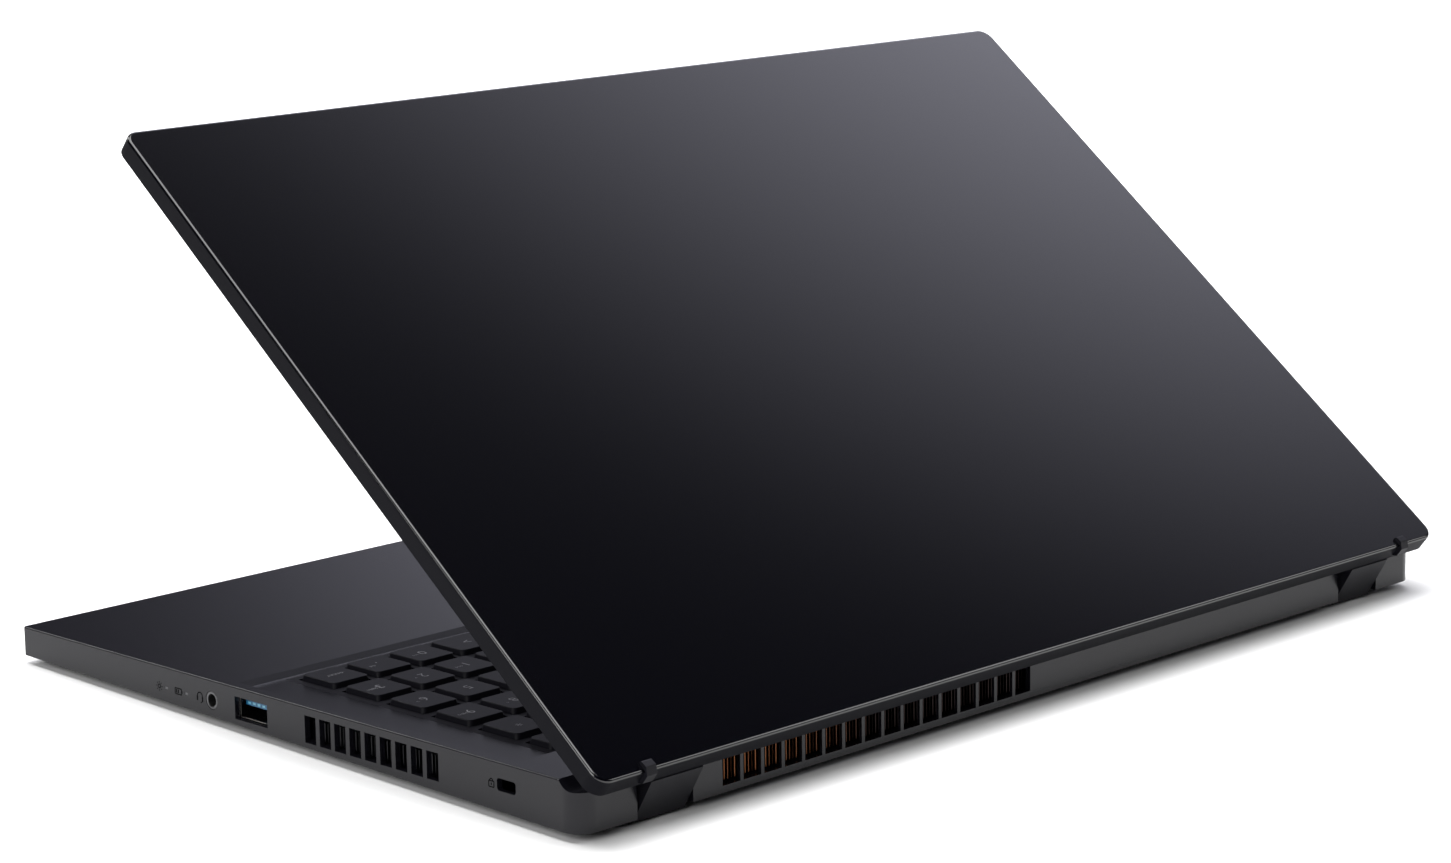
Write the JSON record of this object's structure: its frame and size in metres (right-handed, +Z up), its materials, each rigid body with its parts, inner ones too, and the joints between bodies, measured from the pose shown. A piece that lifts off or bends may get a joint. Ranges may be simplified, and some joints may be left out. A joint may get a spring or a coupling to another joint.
{
  "type": "laptop computer",
  "caption": "Black clamshell laptop standing part open, with a sunk full-size keyboard and number pad, touchpad, side sockets, rear and side air vents and two friction hinges.",
  "frame": {"origin": "centre of the underside of the bounding box, on the table under the feet", "axes": "+X to the right of the person typing, +Y to the rear of the laptop where the lid hinges, +Z up"},
  "size_m": [0.3624, 0.2486, 0.1629],
  "materials": {
    "lid_skin": "smooth satin black",
    "case_plastic": "fine matt graphite",
    "trim_plastic": "fine matt black",
    "key_plastic": "matt black",
    "touch_face": "satin",
    "screen_face": "anti-glare",
    "lens_black": "gloss",
    "rubber": "matt",
    "steel": "plain steel",
    "board": "solder mask",
    "copper": "bare copper",
    "bare_metal": "bare",
    "cell_wrap": "black film",
    "socket_plastic": "moulded black",
    "tongue_blue": "moulded blue",
    "light_pipe": "clear diffusing"
  },
  "bodies": {
    "base": {"upper_case": "case_plastic", "bottom_case": "case_plastic", "rubber_feet": "rubber", "bottom_screws": "steel", "keyboard_frame": "case_plastic", "keyboard_plate": "steel", "touchpad_bracket": "steel", "hinge_bracket_right": "steel", "hinge_bracket_left": "steel", "mainboard": "board", "port_board": "board", "memory_modules": "board", "storage_drive": "board", "wireless_card": "board", "processors": "board", "cold_plate": "copper", "heat_pipes": "copper", "rear_fin_stack": "copper", "side_fin_stack": "bare_metal", "fan_housing_right": "socket_plastic", "fan_housing_middle": "socket_plastic", "battery_pack": "cell_wrap", "speakers": "socket_plastic", "right_usb_port": "steel", "left_usb_ports": "steel", "usb_tongues": "tongue_blue", "power_inlet": "socket_plastic", "network_port": "socket_plastic", "video_port": "steel", "reversible_port": "steel", "audio_jack": "socket_plastic", "status_lights": "light_pipe"},
    "lid": {"lid_back_cover": "lid_skin", "lid_bezel": "trim_plastic", "display_panel": "screen_face", "camera_module": "lens_black", "bezel_pads": "rubber", "lid_edge_tabs": "trim_plastic", "hinge_cover_right": "trim_plastic", "hinge_shaft_right": "steel", "hinge_arm_right": "steel", "hinge_cover_left": "trim_plastic", "hinge_shaft_left": "steel", "hinge_arm_left": "steel"},
    "modifier_keys": {"modifier_keys": "key_plastic"},
    "space_bar": {"space_bar": "key_plastic"},
    "arrow_keys": {"arrow_keys": "key_plastic"},
    "lower_letter_keys": {"lower_letter_keys": "key_plastic"},
    "home_letter_keys": {"home_letter_keys": "key_plastic"},
    "enter_key": {"enter_key": "key_plastic"},
    "upper_letter_keys": {"upper_letter_keys": "key_plastic"},
    "number_keys": {"number_keys": "key_plastic"},
    "backspace_key": {"backspace_key": "key_plastic"},
    "function_keys": {"function_keys": "key_plastic"},
    "number_pad_keys": {"number_pad_keys": "key_plastic"},
    "power_button": {"power_button": "key_plastic"},
    "touchpad": {"touchpad": "touch_face"},
    "fan_rotor_right": {"fan_rotor_right": "socket_plastic"},
    "fan_rotor_middle": {"fan_rotor_middle": "socket_plastic"}
  },
  "joints": [
    {"name": "lid_hinge", "type": "hinge", "parent": "base", "child": "lid", "pos_m": [0, 0.11365, 0.0109], "axis": [-1, 0, 0], "range_deg": [-38.6, 84]},
    {"name": "modifier_keys_press", "type": "slide", "parent": "base", "child": "modifier_keys", "axis": [0, 0.0218, -0.9998], "range_m": [0, 0.0015], "stiffness_N_per_m": 120, "springref_m": -0.004},
    {"name": "space_bar_press", "type": "slide", "parent": "base", "child": "space_bar", "axis": [0, 0.0218, -0.9998], "range_m": [0, 0.0015], "stiffness_N_per_m": 60, "springref_m": -0.004},
    {"name": "arrow_keys_press", "type": "slide", "parent": "base", "child": "arrow_keys", "axis": [0, 0.0218, -0.9998], "range_m": [0, 0.0015], "stiffness_N_per_m": 80, "springref_m": -0.004},
    {"name": "lower_letter_keys_press", "type": "slide", "parent": "base", "child": "lower_letter_keys", "axis": [0, 0.0218, -0.9998], "range_m": [0, 0.0015], "stiffness_N_per_m": 260, "springref_m": -0.004},
    {"name": "home_letter_keys_press", "type": "slide", "parent": "base", "child": "home_letter_keys", "axis": [0, 0.0218, -0.9998], "range_m": [0, 0.0015], "stiffness_N_per_m": 240, "springref_m": -0.004},
    {"name": "enter_key_press", "type": "slide", "parent": "base", "child": "enter_key", "axis": [0, 0.0218, -0.9998], "range_m": [0, 0.0015], "stiffness_N_per_m": 60, "springref_m": -0.004},
    {"name": "upper_letter_keys_press", "type": "slide", "parent": "base", "child": "upper_letter_keys", "axis": [0, 0.0218, -0.9998], "range_m": [0, 0.0015], "stiffness_N_per_m": 280, "springref_m": -0.004},
    {"name": "number_keys_press", "type": "slide", "parent": "base", "child": "number_keys", "axis": [0, 0.0218, -0.9998], "range_m": [0, 0.0015], "stiffness_N_per_m": 260, "springref_m": -0.004},
    {"name": "backspace_key_press", "type": "slide", "parent": "base", "child": "backspace_key", "axis": [0, 0.0218, -0.9998], "range_m": [0, 0.0015], "stiffness_N_per_m": 60, "springref_m": -0.004},
    {"name": "function_keys_press", "type": "slide", "parent": "base", "child": "function_keys", "axis": [0, 0.0218, -0.9998], "range_m": [0, 0.0015], "stiffness_N_per_m": 340, "springref_m": -0.004},
    {"name": "number_pad_keys_press", "type": "slide", "parent": "base", "child": "number_pad_keys", "axis": [0, 0.0218, -0.9998], "range_m": [0, 0.0015], "stiffness_N_per_m": 300, "springref_m": -0.004},
    {"name": "power_button_press", "type": "slide", "parent": "base", "child": "power_button", "axis": [0, 0.0218, -0.9998], "range_m": [0, 0.0015], "stiffness_N_per_m": 60, "springref_m": -0.004},
    {"name": "touchpad_click", "type": "hinge", "parent": "base", "child": "touchpad", "pos_m": [-0.025, -0.0314, 0.01154], "axis": [1, 0, 0], "range_deg": [0, 0.36], "stiffness_Nm_per_rad": 6, "springref_deg": -0.69},
    {"name": "fan_right_spin", "type": "hinge", "parent": "base", "child": "fan_rotor_right", "pos_m": [0.127, 0.0607, 0.00795], "axis": [0, -0.0218, 0.9998], "continuous": true},
    {"name": "fan_middle_spin", "type": "hinge", "parent": "base", "child": "fan_rotor_middle", "pos_m": [0.043, 0.0607, 0.00795], "axis": [0, -0.0218, 0.9998], "continuous": true}
  ]
}
